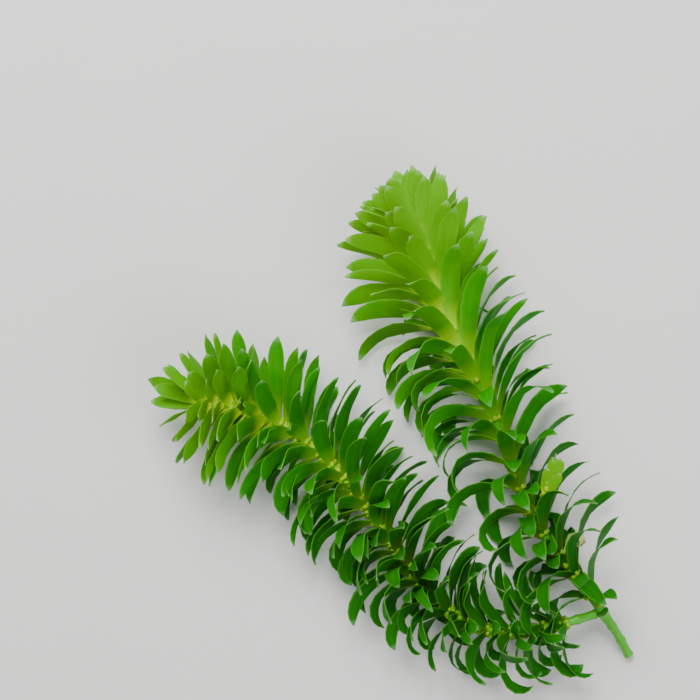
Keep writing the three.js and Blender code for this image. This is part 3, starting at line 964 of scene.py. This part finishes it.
class WATERWEED_PG_colors(bpy.types.PropertyGroup):
    """Colours of the plant."""

    # the colour of the painted glow, an emission standing in for light carried through young leaves
    painted_glow: color_setting("Glow", "Light that young leaves carry down to their base", (0.96, 0.98, 0.0))
    core: color_setting("Core", "Young tissue at the base of crown leaves", (0.28, 0.62, 0.0))
    crown: color_setting("Crown", "Leaves at the tip of a shoot", (0.14, 0.59, 0.0))
    grown: color_setting("Grown", "Leaves further down", (0.02, 0.4, 0.0))
    old: color_setting("Old", "The oldest leaves", (0.01, 0.22, 0.002))
    # deep: the colour of the streaks, and of the painted shade at the back of the stem
    deep: color_setting("Deep", "Streaks and the deepest green", (0.008, 0.13, 0.003))
    # edge: the pale tissue of the margins with a painted highlight, and also a blotch colour of the
    # withered leaf
    edge: color_setting("Margin", "Margins of the leaves", (0.22, 0.62, 0.05))
    # tip: the pale tips of the crown leaves with a painted highlight
    tip: color_setting("Leaf tip", "Tips of the crown leaves", (0.6, 0.85, 0.42))
    stem: color_setting("Stem", "Skin of the stem", (0.07, 0.42, 0.0))
    nodule: color_setting("Nodule", "Swellings in the axils", (0.5, 0.62, 0.0))
    speck: color_setting("Speck", "Rusty specks", (0.42, 0.14, 0.0))
    withered: color_setting("Withered", "The leaf gone pale", (0.8, 0.8, 0.34))


class WATERWEED_PG_sizes(bpy.types.PropertyGroup):
    """Sizes of the plant's details."""

    blade_thickness: bpy.props.FloatProperty(
        name="Blade thickness", description="Thickness of a leaf", unit="LENGTH",
        min=0.00005, max=0.001, default=0.00016,
    )
    midrib_fold: bpy.props.FloatProperty(
        name="Midrib fold", description="How far a leaf is folded down to its midrib", unit="LENGTH",
        min=0, max=0.002, default=0.0002,
    )
    nodule_size: bpy.props.FloatProperty(
        name="Nodule size", description="Width of the swelling in an axil", unit="LENGTH",
        min=0.0002, max=0.003, default=0.0017,
    )


class WATERWEED_PG_studio(bpy.types.PropertyGroup):
    """The stage round the plant."""

    floor: color_setting("Floor", "Colour of the floor", (0.82, 0.82, 0.80))
    key_power: bpy.props.FloatProperty(
        name="Key light", description="Power of the large light above the tips", unit="POWER",
        min=0, max=100, default=8.4,
    )
    fill_power: bpy.props.FloatProperty(
        name="Fill light", description="Power of the light on the other side", unit="POWER",
        min=0, max=100, default=2.5,
    )
    surround: bpy.props.FloatProperty(
        name="Surround", description="Strength of the pale surround", min=0, max=5, default=0.38,
    )
    camera_height: bpy.props.FloatProperty(
        name="Camera height", description="Height of the camera above the floor", unit="LENGTH",
        min=0.1, max=5, default=0.6425,
    )


# Operators

def keep(piece, node):
    """Ties a finished piece to the solid it stands for."""
    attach(piece, "root")
    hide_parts(node)


def joined(name, *made):
    """Several objects as one, under one name."""
    nothing_selected()
    for one in made:
        one.select_set(True)
    bpy.context.view_layer.objects.active = made[0]
    if len(made) > 1:
        bpy.ops.object.join()
    whole = bpy.context.active_object
    whole.name = name
    whole.data.name = name
    return whole


def welded(made):
    """The same object with the rings of its internodes merged, and smooth but for its cut edge."""
    nothing_selected()
    made.select_set(True)
    bpy.context.view_layer.objects.active = made
    bpy.ops.object.mode_set(mode="EDIT")
    bpy.ops.mesh.select_all(action="SELECT")
    bpy.ops.mesh.remove_doubles(threshold=WELD)
    bpy.ops.mesh.normals_make_consistent(inside=False)
    bpy.ops.object.mode_set(mode="OBJECT")
    bpy.ops.object.shade_smooth_by_angle(angle=math.radians(SHARP_ANGLE))
    return made


def plant_materials():
    """The materials of the shoots, made once."""
    colors = bpy.context.scene.waterweed_colors
    return [
        bpy.data.materials.get("leaf_tissue") or leaf_material(colors),
        bpy.data.materials.get("stem_skin") or stem_material(colors),
        bpy.data.materials.get("nodule_skin") or nodule_material(colors),
    ]


class WATERWEED_OT_shoots(bpy.types.Operator):
    """Builds the three leafy shoots"""

    bl_idname = "waterweed.shoots"
    bl_label = "Shoots"

    def execute(self, context):
        sizes = context.scene.waterweed_sizes
        blade = model_blade(sizes.blade_thickness, sizes.midrib_fold)
        nodule = model_nodule(sizes.nodule_size)
        internode = model_internode()
        cut_end = model_cut_end()
        materials = plant_materials()
        for name, shoot in SHOOTS.items():
            route = Route(shoot["route"])
            whorls, leaves = leaves_of(shoot, route)
            whorls.reverse()
            base = route.length - shoot["clear"]
            bare = np.arange(base, whorls[0] + BARE_INTERNODE / 2, -BARE_INTERNODE)
            stem = Copies()
            marks = [*bare, *whorls]
            add_stem(stem, internode, cut_end, route, marks, stem_radius, shoot["older"])
            foliage = Copies()
            for leaf in leaves:
                add_leaf(foliage, blade, route, leaf, stem_radius(leaf["from"]) * ROOTED)
                for order in range(shoot["beads"]):
                    add_nodule(foliage, nodule, route, leaf, order)
            stem_made = welded(stem.piece(name + "_stem", materials))
            leaves_made = joined(name + "_leaves", foliage.piece(name + "_leaves", materials))
            bpy.ops.object.shade_smooth_by_angle(angle=math.radians(SHARP_ANGLE))
            piece = joined(name + "_growth", leaves_made, stem_made)
            keep(piece, name)
        return {"FINISHED"}


class WATERWEED_OT_lower_stem(bpy.types.Operator):
    """Builds the cut stem below the fork"""

    bl_idname = "waterweed.lower_stem"
    bl_label = "Lower stem"

    def execute(self, context):
        route = Route(LOWER_ROUTE)
        stem = Copies()

        def radius_at(distance):
            return STEM_RADIUS + KNUCKLE_SWELL * max(0, 1 - distance / KNUCKLE_LENGTH)

        marks = np.linspace(route.length, 0, LOWER_INTERNODES + 1)
        add_stem(stem, model_internode(), model_cut_end(), route, marks, radius_at, LOWER_OLDER)
        piece = joined("lower_stem_skin", welded(stem.piece("lower_stem_skin", plant_materials())))
        keep(piece, "lower_stem")
        return {"FINISHED"}


class WATERWEED_OT_withered_leaf(bpy.types.Operator):
    """Builds the old leaf that has gone pale and curled up"""

    bl_idname = "waterweed.withered_leaf"
    bl_label = "Withered leaf"

    def execute(self, context):
        sizes = context.scene.waterweed_sizes
        blade = model_blade(sizes.blade_thickness, sizes.midrib_fold)
        copies = Copies()
        add_leaf(copies, blade, Route(RIGHT_ROUTE), WITHERED_LEAF, STEM_RADIUS + PIECE_GAP)
        piece = copies.piece("withered_leaf_blade", [withered_material(context.scene.waterweed_colors)])
        keep(joined("withered_leaf_blade", piece), "withered_leaf")
        return {"FINISHED"}


class WATERWEED_OT_stage(bpy.types.Operator):
    """Builds the floor, the lights and the camera"""

    bl_idname = "waterweed.stage"
    bl_label = "Stage"

    def execute(self, context):
        studio = context.scene.waterweed_studio
        nothing_selected()
        bpy.ops.mesh.primitive_plane_add(size=FLOOR_SIZE, location=(0, 0, -FLOOR_DROP))
        floor = context.active_object
        floor.name = "floor"
        floor.data.materials.append(floor_material(studio.floor))

        def area_light(name, place, size, power):
            bpy.ops.object.light_add(type="AREA", location=place)
            light = context.active_object
            light.name = name
            light.data.size = size
            light.data.energy = power
            away = light.location.copy()
            light.rotation_mode = "QUATERNION"
            light.rotation_quaternion = away.to_track_quat("Z", "Y")

        area_light("key_light", KEY_PLACE, KEY_SIZE, studio.key_power)
        area_light("fill_light", FILL_PLACE, FILL_SIZE, studio.fill_power)

        world = bpy.data.worlds.new("pale_surround")
        context.scene.world = world
        world.use_nodes = True
        background = world.node_tree.nodes["Background"]
        background.inputs["Color"].default_value = (1, 1, 1, 1)
        background.inputs["Strength"].default_value = studio.surround

        aim_x = (PHOTO_MIDDLE_X - MIDDLE[0]) * MM
        aim_y = (PHOTO_MIDDLE_Y - MIDDLE[1]) * MM
        above = (aim_x, aim_y, studio.camera_height)
        bpy.ops.object.camera_add(location=above, rotation=(0, 0, 0))
        camera = context.active_object
        camera.name = "view_from_above"
        camera.data.lens = LENS
        camera.data.sensor_width = SENSOR
        camera.data.clip_start = NEAREST_SEEN
        context.scene.camera = camera
        return {"FINISHED"}


class WATERWEED_PT_panel(bpy.types.Panel):
    """Lists the operators with their settings"""

    bl_idname = "WATERWEED_PT_panel"
    bl_label = "Waterweed"
    bl_space_type = "VIEW_3D"
    bl_region_type = "UI"
    bl_category = "Waterweed"

    def draw(self, context):
        column = self.layout.column()
        for group in (
            context.scene.waterweed_sizes,
            context.scene.waterweed_colors,
            context.scene.waterweed_studio,
        ):
            for key in group.bl_rna.properties.keys():
                if key not in ("rna_type", "name"):
                    column.prop(group, key)
        for operator in (
            "waterweed.shoots",
            "waterweed.lower_stem",
            "waterweed.withered_leaf",
            "waterweed.stage",
        ):
            column.operator(operator)


CLASSES = (
    WATERWEED_PG_colors,
    WATERWEED_PG_sizes,
    WATERWEED_PG_studio,
    WATERWEED_OT_shoots,
    WATERWEED_OT_lower_stem,
    WATERWEED_OT_withered_leaf,
    WATERWEED_OT_stage,
    WATERWEED_PT_panel,
)


def register():
    for each in CLASSES:
        bpy.utils.register_class(each)
    bpy.types.Scene.waterweed_colors = bpy.props.PointerProperty(type=WATERWEED_PG_colors)
    bpy.types.Scene.waterweed_sizes = bpy.props.PointerProperty(type=WATERWEED_PG_sizes)
    bpy.types.Scene.waterweed_studio = bpy.props.PointerProperty(type=WATERWEED_PG_studio)


def unregister():
    del bpy.types.Scene.waterweed_studio
    del bpy.types.Scene.waterweed_sizes
    del bpy.types.Scene.waterweed_colors
    for each in reversed(CLASSES):
        bpy.utils.unregister_class(each)


def main():
    """Builds the plant and its stage."""
    register()
    bpy.ops.waterweed.shoots()
    bpy.ops.waterweed.lower_stem()
    bpy.ops.waterweed.withered_leaf()
    bpy.ops.waterweed.stage()


if __name__ == "__main__":
    main()
